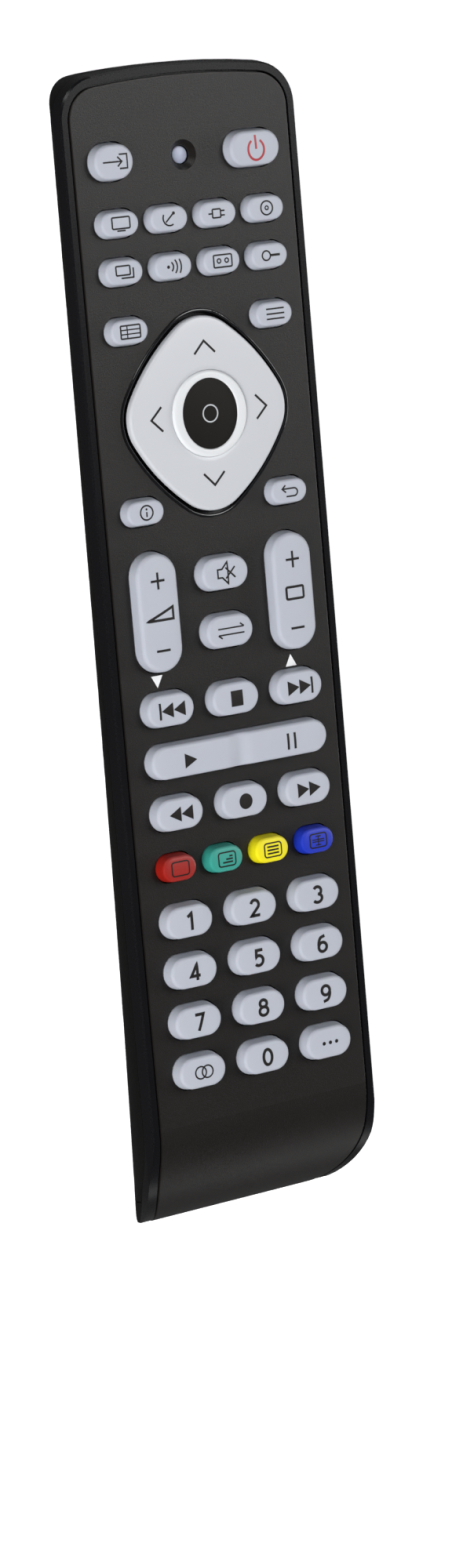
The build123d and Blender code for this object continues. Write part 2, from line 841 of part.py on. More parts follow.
# Select key in the middle of the pad, and the dark disc let into its top
with BuildPart() as ok_key:
    with BuildSketch(Plane.XY.offset(plunger_bottom)):
        with Locations((0, pad_row)):
            Circle(ok_radius)
    extrude(amount=ok_rise - plunger_bottom)
    fillet(ok_key.faces().sort_by(Axis.Z)[-1].edges(), ok_edge_radius)
    with BuildSketch(Plane.XY.offset(ok_rise)):
        with Locations((0, pad_row)):
            Circle(ok_disc_radius)
    extrude(amount=-ok_disc_inset - ok_disc_thickness, mode=Mode.SUBTRACT)
    with BuildSketch(Plane.XY.offset(ok_flange_bottom)):
        with Locations((0, pad_row)):
            Circle(ok_flange_radius)
    extrude(amount=ok_flange_thickness)

with BuildPart() as ok_disc:
    with BuildSketch(Plane.XY.offset(ok_rise - ok_disc_inset - ok_disc_thickness)):
        with Locations((0, pad_row)):
            Circle(ok_disc_radius)
    extrude(amount=ok_disc_thickness)

# Indicator lamp standing on the board
with BuildPart() as indicator_lamp:
    with BuildSketch(Plane.XY.offset(board_top)):
        with Locations((0, top_row)):
            Circle(lamp_radius)
    extrude(amount=lamp_tip - board_top)
    fillet(indicator_lamp.faces().sort_by(Axis.Z)[-1].edges(), lamp_edge_radius)

# Two infra-red lamps behind the window
with BuildPart() as ir_lamps:
    led_tip = ir_end - wall - led_setback
    for side in (-1, 1):
        x = side * led_pitch / 2
        bow = end_bow_radius - sqrt(end_bow_radius**2 - x**2)
        with BuildSketch(Plane.XZ.offset(-(led_tip - led_length))):
            with Locations((x, led_height)):
                Circle(led_radius)
        extrude(amount=led_radius - led_length)
        with BuildSketch(Plane.XZ.offset(-(led_tip - led_length))):
            with Locations((x, led_height)):
                Circle(led_flange_radius)
        extrude(amount=-led_flange_length)
        with Locations((x, led_tip - led_radius, led_height)):
            Sphere(led_radius)

# Controller chip under the board, between the pad and the source keys
with BuildPart() as controller_chip:
    chip_range = (chip_place - chip_width / 2, chip_place + chip_width / 2)
    chip_levels = (board_bottom - chip_thickness, board_bottom)
    add(box_between((-chip_width / 2, chip_width / 2), chip_range, chip_levels))

# Two cells side by side, one each way round
cell_axis = cell_top - cell_radius
with BuildPart() as battery_cells:
    for side in (-1, 1):
        start = cell_middle - side * (cell_length + cell_nub_length) / 2
        with BuildSketch(Plane.XZ.offset(-start)):
            with Locations((side * cell_pitch / 2, cell_axis)):
                Circle(cell_radius)
        extrude(amount=-side * cell_length)
        with BuildSketch(Plane.XZ.offset(-start - side * cell_length)):
            with Locations((side * cell_pitch / 2, cell_axis)):
                Circle(cell_nub_radius)
        extrude(amount=-side * cell_nub_length)

# Contact plates on the tail wall and leaf springs on the other wall of the bay
cell_tail_end = cell_middle - (cell_length + cell_nub_length) / 2
cell_ir_end = cell_middle + (cell_length + cell_nub_length) / 2
with BuildPart() as contact_plates:
    for side in (-1, 1):
        x = side * cell_pitch / 2
        x_range = (x - contact_width / 2, x + contact_width / 2)
        y_range = (bay_tail_wall + bay_wall, bay_tail_wall + bay_wall + contact_thickness)
        z_range = (cell_axis - contact_height / 2, cell_axis + contact_height / 2)
        add(box_between(x_range, y_range, z_range))

with BuildPart() as leaf_springs:
    for side in (-1, 1):
        x = side * cell_pitch / 2
        low = cell_axis - spring_height / 2
        high = cell_axis + spring_height / 2
        crown = cell_ir_end + spring_thickness
        back = bay_ir_wall
        with BuildSketch(Plane.YZ.offset(x - spring_width / 2)):
            with BuildLine():
                ThreePointArc((back, low), (crown, cell_axis), (back, high))
                Line((back, high), (back, high - spring_thickness))
                ThreePointArc(
                    (back, high - spring_thickness),
                    (crown + spring_thickness, cell_axis),
                    (back, low + spring_thickness),
                )
                Line((back, low + spring_thickness), (back, low))
            make_face()
        extrude(amount=spring_width)

# Two self-tapping screws, heads under the shelves
with BuildPart() as case_screws:
    head_level = shelf_top - shelf_thickness
    with BuildSketch(Plane.XY.offset(head_level)):
        with Locations((-screw_place_x, screw_place_y), (screw_place_x, screw_place_y)):
            Circle(screw_head_radius)
    extrude(amount=-screw_head_height)
    with BuildSketch(Plane.XY.offset(head_level)):
        with Locations((-screw_place_x, screw_place_y), (screw_place_x, screw_place_y)):
            Circle(screw_radius)
    extrude(amount=screw_length)

# Lay the remote on its back: turn by the wedge angle, then centre it and set it down
tilt = Location((0, 0, 0), (-wedge_angle, 0, 0))
lying = envelope.part.moved(tilt).bounding_box()
seat = Location((0, -lying.center().Y, -lying.min.Z)) * tilt
os.makedirs("parts", exist_ok=True)


def write(piece, name):
    """Seat one finished piece and write it."""
    seated = piece.part.moved(seat)
    seated.label = name
    export_step(seated, f"parts/{name}.step")


pieces = {
    "front_case": front_case,
    "face_plate": face_plate,
    "pad_bezel": pad_bezel,
    "rear_case": rear_case,
    "battery_cover": battery_cover,
    "ir_window": ir_window,
    "circuit_board": circuit_board,
    "keypad_mat": keypad_mat,
    "volume_key": volume_key,
    "channel_key": channel_key,
    "play_pause_key": dipped_bar,
    "direction_pad": direction_pad,
    "pad_pivots": pad_pivots,
    "ok_key": ok_key,
    "ok_disc": ok_disc,
    "indicator_lamp": indicator_lamp,
    "ir_lamps": ir_lamps,
    "controller_chip": controller_chip,
    "battery_cells": battery_cells,
    "contact_plates": contact_plates,
    "leaf_springs": leaf_springs,
    "case_screws": case_screws,
}
for name, kind, x, y in sliding_keys:
    pieces[name] = sliding_key(kind, x, y)
for name, piece in pieces.items():
    write(piece, name)
print("pieces", len(pieces))
print("wedge angle", wedge_angle, "seat", tuple(seat.position))
print("pad row", pad_row, "rocker row", rocker_row, "bar row", bar_row, "door pivot", door_top, back_level(door_top))
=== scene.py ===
import json
import math
from collections import namedtuple

import bpy
import numpy as np
from mathutils import Matrix, Vector


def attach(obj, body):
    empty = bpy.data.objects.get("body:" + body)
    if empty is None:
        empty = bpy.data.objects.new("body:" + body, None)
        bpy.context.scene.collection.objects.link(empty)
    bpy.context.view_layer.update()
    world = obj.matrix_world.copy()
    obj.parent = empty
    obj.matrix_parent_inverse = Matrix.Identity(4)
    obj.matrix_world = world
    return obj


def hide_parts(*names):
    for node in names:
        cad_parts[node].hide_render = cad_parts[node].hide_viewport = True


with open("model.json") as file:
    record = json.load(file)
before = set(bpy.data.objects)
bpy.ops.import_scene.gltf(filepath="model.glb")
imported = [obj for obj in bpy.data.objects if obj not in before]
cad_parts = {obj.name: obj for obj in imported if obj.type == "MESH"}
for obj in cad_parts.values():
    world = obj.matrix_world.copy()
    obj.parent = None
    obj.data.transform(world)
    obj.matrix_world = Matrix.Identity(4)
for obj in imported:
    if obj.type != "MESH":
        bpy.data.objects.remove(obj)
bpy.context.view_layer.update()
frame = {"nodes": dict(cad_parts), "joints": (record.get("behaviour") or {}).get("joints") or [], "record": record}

# Sizes are millimetres in the face frame: z is 0 on the face plate and points out of it,
# y runs to the infra-red end and x to the right. seated() takes points to the row frame.
MM = 0.001
JOINTS = {joint["name"]: joint for joint in frame["joints"]}
OUT = -np.array(JOINTS["ok_key_press"]["axis"])
ALONG = np.array(JOINTS["play_pause_key_rock"]["axis"])
ROCKER_Y, ROCKER_PIVOT_Z = 8.65, -3.1
ROCKER_MIDDLE = np.mean(
    [JOINTS["volume_key_rock"]["pos_m"], JOINTS["channel_key_rock"]["pos_m"]], axis=0
)
ORIGIN = ROCKER_MIDDLE - MM * (ROCKER_Y * ALONG + ROCKER_PIVOT_Z * OUT)
TO_ROW = np.stack([[1.0, 0.0, 0.0], ALONG, OUT])

# Rows of the keypad along y, columns along x; the outer keys of a row of four stand 1.5 pitches out
TOP_ROW, SOURCE_ROWS, GUIDE_ROW, PAD_ROW, INFO_ROW = 92.9, (81.5, 72.6), 61.6, 44.5, 27.75
MUTE_ROW, LAST_ROW, SKIP_ROW, BAR_ROW, WIND_ROW = 14.2, 3.1, -9.9, -19.85, -29.9
COLOUR_ROW, NUMBER_ROW, NUMBER_PITCH = -40.3, -50.8, 9.85
NUMBER_COLUMN, ROCKER_COLUMN, SOURCE_PITCH, COLOUR_PITCH = 14.52, 15.1, 10.68, 10.45
INPUT_COLUMN, POWER_COLUMN = 16.2, 14.65
OUTER_OF_FOUR = 1.5

# height is over the plate; edge is the radius round the top, crown the rise of the top inside it
# and lean how far the wall draws in on its way up
KeyShape = namedtuple("KeyShape", "half_length radius height edge crown lean")
KEYS = {
    "number": KeyShape(5.45, 3.4, 2.65, 0.8, 0.12, 0.3),
    "source": KeyShape(4.35, 2.62, 2.25, 0.7, 0.1, 0.32),
    "colour": KeyShape(3.98, 2.68, 2.55, 0.7, 0.1, 0.22),
    "input": KeyShape(4.4, 3.48, 2.45, 0.8, 0.15, 0.22),
    "power": KeyShape(5.72, 3.5, 2.45, 0.8, 0.15, 0.22),
    "rocker": KeyShape(11.5, 4.65, 2.75, 1.0, 0.18, 0.22),
    "bar": KeyShape(20.0, 3.4, 2.75, 0.85, 0.12, 0.2),
}


def seated(points):
    """Face frame in millimetres to row frame in metres: origin + x*right + y*along + z*out."""
    return ORIGIN + MM * np.asarray(points, float) @ TO_ROW


def hex_linear(code):
    """An sRGB colour written as six hex digits, as linear red, green, blue and alpha."""
    parts = [int(code[i : i + 2], 16) / 255 for i in (0, 2, 4)]
    return [c / 12.92 if c <= 0.04045 else ((c + 0.055) / 1.055) ** 2.4 for c in parts] + [1.0]


def sweep(degrees, count):
    """Angles in radians from 0 to degrees, in even steps."""
    return np.radians(np.linspace(0, degrees, count))


def bare_tree(holder):
    """The emptied shader tree of a material or world."""
    holder.use_nodes = True
    holder.node_tree.nodes.clear()
    return holder.node_tree


def add_node(tree, kind, inputs=None, **settings):
    """A shader node with its settings, and its sockets set to values or linked to other sockets."""
    node = tree.nodes.new(kind)
    for key, value in settings.items():
        setattr(node, key, value)
    for key, value in (inputs or {}).items():
        socket = node.inputs[key]
        if isinstance(value, bpy.types.NodeSocket):
            tree.links.new(value, socket)
        else:
            socket.default_value = value
    return node


CLOUD_DETAIL, GRAIN_DETAIL, GRAIN_HARSHNESS = 3.0, 4.0, 0.6
GLOW_DEPTH = 0.001


def material(
    name, colour, second, mottle, roughness, grain, bump,
    coat=0.0, coat_roughness=0.1, spread=0.08, glow=0.0, specular=0.5,
):
    """Moulded or printed finish: two near tones mottled together, fine grain, and its own gloss.

    mottle and grain are noise scales in features per metre; bump is the grain's depth in metres.
    The grain also moves the roughness by spread either way. glow is light scattered inside.
    """
    made = bpy.data.materials.new(name)
    tree = bare_tree(made)
    place = add_node(tree, "ShaderNodeTexCoord").outputs["Object"]
    cloud = add_node(
        tree, "ShaderNodeTexNoise", {"Vector": place, "Scale": mottle, "Detail": CLOUD_DETAIL}
    )
    tone = add_node(
        tree,
        "ShaderNodeMix",
        {"Factor": cloud.outputs["Fac"], "A": hex_linear(colour), "B": hex_linear(second)},
        data_type="RGBA",
    )
    fine = add_node(
        tree,
        "ShaderNodeTexNoise",
        {"Vector": place, "Scale": grain, "Detail": GRAIN_DETAIL, "Roughness": GRAIN_HARSHNESS},
    )
    gloss = add_node(
        tree,
        "ShaderNodeMapRange",
        {"Value": fine.outputs["Fac"], "To Min": roughness - spread, "To Max": roughness + spread},
    )
    relief = add_node(
        tree, "ShaderNodeBump", {"Height": fine.outputs["Fac"], "Distance": bump, "Strength": 1.0}
    )
    skin = add_node(
        tree,
        "ShaderNodeBsdfPrincipled",
        {
            "Base Color": tone.outputs[2],
            "Roughness": gloss.outputs["Result"],
            "Normal": relief.outputs["Normal"],
            "Coat Weight": coat,
            "Coat Roughness": coat_roughness,
            "Subsurface Weight": glow,
            "Subsurface Scale": GLOW_DEPTH,
            "Specular IOR Level": specular,
        },
    )
    output = add_node(tree, "ShaderNodeOutputMaterial")
    tree.links.new(skin.outputs["BSDF"], output.inputs["Surface"])
    return made


METAL_MOTTLE = 90.0


def metal(name, colour, second, roughness, grain, bump):
    """Plated metal with a fine even grain, one mottle scale and the values of material()."""
    made = material(name, colour, second, METAL_MOTTLE, roughness, grain, bump)
    made.node_tree.nodes["Principled BSDF"].inputs["Metallic"].default_value = 1.0
    return made


# What the eye sees on each surface. After the name: two tones, the mottle's scale, roughness,
# the grain's scale and its depth
MATERIALS = {
    # dark warm-grey satin ABS, sprayed, with a fine sandy grain that breaks up reflections
    "face_plate": material(
        "satin_abs_plate", "151210", "191614", 60, 0.4, 5000, 0.00004, specular=0.42
    ),
    # black rim, smoother than the plate, with a faint light line along its bevel
    "front_rim": material(
        "satin_black_abs_rim", "0E0E10", "121214", 40, 0.27, 1500, 0.000002,
        spread=0.03, specular=0.2,
    ),
    # ring round the pad: piano-black, the shiniest thing on the face
    "bezel": material(
        "gloss_black_bezel", "08080A", "0B0B0D", 60, 0.12, 900, 0.000001,
        coat=0.6, coat_roughness=0.05, spread=0.03,
    ),
    # lower shell: spark-eroded matt black that hides finger marks
    "rear_shell": material(
        "spark_eroded_abs_shell", "0B0B0A", "0E0E0D", 45, 0.5, 1900, 0.00003, specular=0.2
    ),
    # keys: bluish light-grey silicone, matt, slightly translucent at the edges
    "key_grey": material(
        "silicone_key_grey", "B6BAC5", "BBBFC9", 150, 0.52, 3800, 0.000008,
        spread=0.05, glow=0.05,
    ),
    # pad: white, harder and a touch glossier than the keys
    "pad_white": material(
        "satin_white_abs_pad", "CBCDD2", "CFD1D5", 70, 0.38, 3000, 0.000004,
        coat=0.15, coat_roughness=0.25, spread=0.04,
    ),
    # collar of the select key: the same plastic, a shade whiter
    "collar_white": material(
        "satin_white_abs_collar", "E2E4E6", "E5E7E9", 70, 0.4, 3000, 0.000004,
        coat=0.1, coat_roughness=0.25, spread=0.04,
    ),
    # coloured keys: the same matt silicone, dyed brick red, sea green, lemon and royal blue
    "key_red": material(
        "silicone_key_red", "951A12", "9E1E15", 150, 0.5, 3800, 0.000008, spread=0.05
    ),
    "key_green": material(
        "silicone_key_green", "35988A", "3A9F90", 150, 0.5, 3800, 0.000008, spread=0.05
    ),
    "key_yellow": material(
        "silicone_key_yellow", "EEDF12", "F3E61C", 150, 0.5, 3800, 0.000008, spread=0.05
    ),
    "key_blue": material(
        "silicone_key_blue", "1A30B0", "1F37BC", 150, 0.5, 3800, 0.000008, spread=0.05
    ),
    # disc let into the collar: near-black lacquer with a warm cast
    "ok_black": material(
        "lacquered_black_disc", "0D0A06", "110D09", 120, 0.45, 2600, 0.000002,
        spread=0.04, specular=0.2,
    ),
    # window that looks black until light shines through it
    "ir_window": material(
        "smoked_ir_window", "12070A", "170A0D", 80, 0.08, 700, 0.000001,
        coat=0.4, coat_roughness=0.04, spread=0.02,
    ),
    # milky lens with a cold cast
    "lamp": material(
        "diffusing_lamp_lens", "B0B7CC", "B7BDD1", 300, 0.42, 2000, 0.000002,
        coat=0.1, coat_roughness=0.2, spread=0.04, glow=0.1,
    ),
    # green solder mask with a thin gloss
    "board": material(
        "solder_mask_board", "1C5533", "22603A", 500, 0.32, 1500, 0.00001,
        coat=0.2, coat_roughness=0.15,
    ),
    # cloudy grey rubber that lets some light through
    "mat": material(
        "clear_silicone_mat", "8A8F96", "92979D", 120, 0.55, 3000, 0.00001, glow=0.1
    ),
    # dull black block, slightly gritty
    "chip": material("epoxy_moulded_chip", "161617", "1B1B1C", 400, 0.6, 4000, 0.00001),
    # dark film, tight and shiny
    "cell": material(
        "shrink_film_cell", "2A2A2C", "303033", 60, 0.3, 1200, 0.000003,
        coat=0.3, coat_roughness=0.1,
    ),
    # bright nickel plate
    "spring_steel": metal("nickel_plated_spring", "B4B6B8", "BCBEC0", 0.28, 1800, 0.000003),
    # greyer and duller than the springs
    "screw": metal("zinc_plated_screw", "86868B", "909096", 0.38, 2200, 0.000006),
    # glassy, with a violet cast
    "ir_led": material(
        "clear_epoxy_lamp", "B9B3C8", "C3BDD0", 200, 0.1, 900, 0.000001,
        coat=0.5, coat_roughness=0.05, spread=0.03,
    ),
}
# printing inks: flat, a little drier than what they are printed on
INK = material("screen_ink_black", "191514", "1E1918", 200, 0.55, 4500, 0.000004, specular=0.3)
RED_INK = material("screen_ink_red", "A8323A", "B0383F", 200, 0.5, 4500, 0.000004)
WHITE_INK = material("screen_ink_white", "F2F3F4", "F6F7F7", 200, 0.5, 4500, 0.000004)
PALE_INK = material("screen_ink_pale_on_disc", "BFC3C6", "C5C8CB", 200, 0.45, 4500, 0.000003)

SLOT_OF = {entry["node"]: entry["material_slot"] for entry in frame["record"]["subparts"]}
BODIES = frame["record"]["behaviour"]["bodies"]
BODY_OF = {node: body for body, nodes in BODIES.items() for node in nodes}
for node, holder in frame["nodes"].items():
    holder.data.materials.clear()
    holder.data.materials.append(MATERIALS[SLOT_OF[node]])


# Edges that turn by more than this stay crisp
CREASE = math.radians(40.0)


def make_mesh(name, points, faces, finish, body):
    """A new piece from points in the face frame and faces as index lists, riding on a body."""
    mesh = bpy.data.meshes.new(name)
    mesh.from_pydata([tuple(p) for p in seated(points)], [], [tuple(f) for f in faces])
    mesh.validate()
    mesh.materials.append(finish)
    mesh.shade_smooth()
    mesh.set_sharp_from_angle(angle=CREASE)
    piece = bpy.data.objects.new(name, mesh)
    bpy.context.scene.collection.objects.link(piece)
    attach(piece, body)
    return piece


def grid_faces(rows, columns):
    """Quads between rings of points; the last point of each ring joins its first."""
    faces = []
    for row in range(rows - 1):
        for column in range(columns):
            following = (column + 1) % columns
            faces.append([
                row * columns + column,
                row * columns + following,
                (row + 1) * columns + following,
                (row + 1) * columns + column,
            ])
    return faces


# Points along each round end and each straight side of a key
END_POINTS, SHORT_KEY_POINTS = 20, 5
STRAIGHT_POINTS = {"rocker": 14, "bar": 60}
QUARTER_TURN = np.array([[0.0, 1.0], [-1.0, 0.0]])


def key_outline(kind):
    """Outline points and outward normals of a key: two half circles joined by straight sides."""
    shape = KEYS[kind]
    reach = shape.half_length - shape.radius
    angles = np.linspace(-math.pi / 2, math.pi / 2, END_POINTS)
    right = np.stack([np.cos(angles), np.sin(angles)], 1)
    straight_points = STRAIGHT_POINTS.get(kind, SHORT_KEY_POINTS)
    run = np.linspace(reach, -reach, straight_points + 2)[1:-1]
    up = np.tile([0.0, 1.0], (len(run), 1))
    normals = np.concatenate([right, up, -right, -up])
    centres = np.concatenate(
        [np.tile([reach, 0.0], (END_POINTS, 1)), np.stack([run, 0 * run], 1),
         np.tile([-reach, 0.0], (END_POINTS, 1)), np.stack([-run, 0 * run], 1)]
    )
    points = centres + shape.radius * normals
    if kind == "rocker":
        points, normals = points @ QUARTER_TURN, normals @ QUARTER_TURN
    return points, normals


# The case's floor holds each key back by a flange round its foot
FLOOR_UNDERSIDE, FLANGE_UNDERSIDE, FLANGE_REACH, FOOT_INSET = -2.2, -2.8, 0.6, 0.5
EDGE_SWEEP, EDGE_POINTS, CROWN_POINTS = 72, 9, 9


def cap_top(kind):
    """Inset and height pairs up round the edge, an arc, and over the crown, a parabola."""
    _, radius, height, edge, crown, lean = KEYS[kind]
    shoulder = height - crown
    pairs = [
        (lean + edge * (1 - math.cos(angle)), shoulder - edge * (1 - math.sin(angle)))
        for angle in sweep(EDGE_SWEEP, EDGE_POINTS)
    ]
    start, low = pairs[-1]
    pairs += [
        (start + share * (radius - start), low + (height - low) * (2 * share - share**2))
        for share in np.linspace(0, 1, CROWN_POINTS)[1:]
    ]
    return np.array(pairs)


def cap_profile(kind):
    """Inset and height pairs from under the flange up the wall and over the top."""
    foot = [
        (FOOT_INSET, FLANGE_UNDERSIDE), (-FLANGE_REACH, FLANGE_UNDERSIDE),
        (-FLANGE_REACH, FLOOR_UNDERSIDE), (0.0, FLOOR_UNDERSIDE), (0.0, 0.0),
    ]
    return np.concatenate([foot, cap_top(kind)])


def crown_height(kind, points):
    """Height of a key's top over points given from its centre."""
    half_length, radius, *_ = KEYS[kind]
    profile = cap_top(kind)
    flat = np.asarray(points, float)
    if kind == "rocker":
        flat = flat[:, ::-1]
    along = np.clip(flat[:, 0], radius - half_length, half_length - radius)
    inset = radius - np.hypot(flat[:, 0] - along, flat[:, 1])
    return np.interp(inset, profile[:, 0], profile[:, 1])


BAR_DIP_HALF, BAR_DIP_DEPTH, BAR_DIP_SHARPNESS = 3.1, 0.7, 1.2


def bar_dip(x):
    """Soft saddle across the middle of the play and pause bar: a raised-cosine valley."""
    share = np.clip(np.abs(x) / BAR_DIP_HALF, 0, 1)
    return BAR_DIP_DEPTH * (0.5 + 0.5 * np.cos(math.pi * share)) ** BAR_DIP_SHARPNESS


def key_cap(node, kind, x, y):
    """Moulded key: outline(u) - inset(v) * normal(u), at height(v)."""
    outline, normals = key_outline(kind)
    rings = []
    for inset, height in cap_profile(kind):
        flat = outline - inset * normals
        level = np.full(len(flat), height)
        if kind == "bar" and height > 0:
            level = level - bar_dip(flat[:, 0]) * height / KEYS[kind].height
        rings.append(np.column_stack([flat[:, 0] + x, flat[:, 1] + y, level]))
    points = np.concatenate(rings)
    faces = grid_faces(len(rings), len(outline))
    slot = SLOT_OF[node]
    piece = make_mesh(node + "_cap", points, faces, MATERIALS[slot], BODY_OF[node])
    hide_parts(node)


# A print stands proud of its surface, and its outer edges are sunk into it
PRINT_LIFT, PRINT_SINK, PRINT_STEP = 0.02, 0.06, 0.25
LEAST_MITRE = 0.5
FILL_RINGS, FILL_HUB_SHARE = 5, 0.02


def stepped(path, closed):
    """The same path with points no further apart than PRINT_STEP."""
    path = [np.array(p, float) for p in path]
    if closed:
        path = path + [path[0]]
    result = [path[0]]
    for before, after in zip(path, path[1:]):
        count = max(1, int(math.ceil(np.linalg.norm(after - before) / PRINT_STEP)))
        result += [before + (after - before) * k / count for k in range(1, count + 1)]
    return np.array(result[:-1] if closed else result)


def ribbon(path, width, closed):
    """Left and right edges of a stroke: path +- width/2 along the mitred normal."""
    path = stepped(path, closed)
    if closed:
        before, after = path - np.roll(path, 1, 0), np.roll(path, -1, 0) - path
    else:
        steps = np.diff(path, axis=0)
        before = np.concatenate([steps[:1], steps])
        after = np.concatenate([steps, steps[-1:]])
    before /= np.linalg.norm(before, axis=1)[:, None]
    after /= np.linalg.norm(after, axis=1)[:, None]
    tangent = before + after
    tangent /= np.linalg.norm(tangent, axis=1)[:, None]
    normal = np.stack([-tangent[:, 1], tangent[:, 0]], 1)
    mitre = 1 / np.clip(np.abs(np.sum(tangent * after, 1)), LEAST_MITRE, 1)
    side = normal * (mitre * width / 2)[:, None]
    return path + side, path - side


class Sign:
    """A printed sign: strokes and filled shapes, gathered and laid over a surface as one piece."""

    def __init__(self, x, y, height_at):
        self.x, self.y, self.height_at = x, y, height_at
        self.points, self.faces = [], []

    def add(self, flat, lift, faces):
        """Take in points laid over the surface, lift above it, and faces between them."""
        start = len(self.points)
        level = self.height_at(flat) + lift
        self.points += [(p[0] + self.x, p[1] + self.y, z) for p, z in zip(flat, level)]
        self.faces += [[start + i for i in face] for face in faces]

    def stroke(self, path, width, closed=False):
        """A line of ink: four edges per step, the outer two sunk under the surface."""
        left, right = ribbon(path, width, closed)
        count = len(left)
        flat = np.stack([left, left, right, right], 1).reshape(-1, 2)
        lift = np.tile([-PRINT_SINK, PRINT_LIFT, PRINT_LIFT, -PRINT_SINK], count)
        faces = []
        for row in range(count if closed else count - 1):
            following = (row + 1) % count
            for edge in range(3):
                here, there = row * 4 + edge, following * 4 + edge
                faces.append([here, here + 1, there + 1, there])
        self.add(flat, lift, faces)

    def fill(self, corners):
        """A filled convex shape: corner points drawn in to the middle in even rings."""
        corners = stepped(corners, True)
        middle, count = corners.mean(0), len(corners)
        rings = [
            middle + share * (corners - middle)
            for share in np.linspace(1, FILL_HUB_SHARE, FILL_RINGS)
        ]
        flat = np.concatenate(rings + [[middle]])
        last, hub = (FILL_RINGS - 1) * count, FILL_RINGS * count
        faces = grid_faces(FILL_RINGS, count)
        faces += [[last + i, last + (i + 1) % count, hub] for i in range(count)]
        self.add(flat, PRINT_LIFT, faces)

    def draw(self, marks):
        """Marks from line(), loop() and blot()."""
        for path, width, closed in marks:
            if width is None:
                self.fill(path)
            else:
                self.stroke(path, width, closed)

    def finish(self, name, ink, body, slot):
        """Make the piece from all that was gathered."""
        make_mesh(name, np.array(self.points), self.faces, ink, body)


def arc(cx, cy, rx, ry, start, end, count=20):
    """Points on an ellipse from one angle to another, in degrees."""
    angles = np.radians(np.linspace(start, end, count))
    return [(cx + rx * math.cos(a), cy + ry * math.sin(a)) for a in angles]


def ring(cx, cy, rx, ry, count=32):
    """A closed ellipse."""
    return arc(cx, cy, rx, ry, 0, 360 - 360 / count, count)


CORNER_POINTS = 6


def round_box(half_x, half_y, corner, cx=0.0, cy=0.0):
    """A closed rectangle with round corners."""
    path = []
    for sx, sy, start in ((1, 1, 0), (-1, 1, 90), (-1, -1, 180), (1, -1, 270)):
        middle_x, middle_y = cx + sx * (half_x - corner), cy + sy * (half_y - corner)
        path += arc(middle_x, middle_y, corner, corner, start, start + 90, CORNER_POINTS)
    return path


def shifted(path, dx, sx):
    """A path moved by dx after its x values are multiplied by sx."""
    return [(x * sx + dx, y) for x, y in path]


THIN, MEDIUM, BOLD = 0.3, 0.44, 0.46


def line(path, width=THIN):
    """An open stroke for Sign.draw."""
    return path, width, False


def loop(path, width=THIN):
    """A closed stroke for Sign.draw."""
    return path, width, True


def blot(corners):
    """A filled shape for Sign.draw."""
    return corners, None, True


# Numerals drawn as pen strokes in a box 0.62 wide and 1 high, centred on 0
NUMERAL_HEIGHT, NUMERAL_STROKE = 3.5, 0.61
NUMERALS = {
    "0": [(ring(0, 0, 0.27, 0.43), True)],
    "1": [([(-0.2, 0.27), (0.06, 0.45), (0.06, -0.48)], False)],
    "2": [(arc(-0.01, 0.18, 0.25, 0.26, 165, -32, 16) + [(-0.26, -0.43), (0.3, -0.43)], False)],
    "3": [
        (arc(-0.03, 0.21, 0.24, 0.23, 150, -80, 16), False),
        (arc(-0.04, -0.2, 0.28, 0.24, 85, -150, 18), False),
    ],
    "4": [([(0.12, -0.48), (0.12, 0.42), (-0.28, -0.22), (0.31, -0.22)], False)],
    "5": [
        ([(0.24, 0.43), (-0.17, 0.43), (-0.2, 0.05)]
         + arc(-0.05, -0.15, 0.28, 0.28, 110, -140, 18), False),
    ],
    "6": [
        ([(0.2, 0.45)] + arc(0.06, -0.08, 0.3, 0.5, 112, 178, 8), False),
        (ring(0.02, -0.17, 0.26, 0.26), True),
    ],
    "7": [([(-0.26, 0.43), (0.27, 0.43), (-0.08, -0.48)], False)],
    "8": [(ring(0, 0.23, 0.22, 0.2), True), (ring(0, -0.2, 0.27, 0.24), True)],
    "9": [
        ([(-0.2, -0.45)] + arc(-0.06, 0.08, 0.3, 0.5, -68, -2, 8), False),
        (ring(-0.02, 0.17, 0.26, 0.26), True),
    ],
}

TRIANGLE_RIGHT = [(-1.3, 1.45), (1.3, 0), (-1.3, -1.45)]
PLAY_STRETCH, ARROW_STEP = 1.03, 1.32
STOP_SHIFT, STOP_PLACE, STOP_HALF = 0.3, 2.6, 1.6


def arrows(turn, stop):
    """Two triangles pointing along turn, 1 or -1, and a stop line ahead of them if wanted."""
    shift = STOP_SHIFT * turn if stop else 0
    marks = [
        blot(shifted(TRIANGLE_RIGHT, side * ARROW_STEP * turn - shift, turn)[::turn])
        for side in (-1, 1)
    ]
    if stop:
        ahead = STOP_PLACE * turn
        marks.append(line([(ahead, STOP_HALF), (ahead, -STOP_HALF)], BOLD))
    return marks


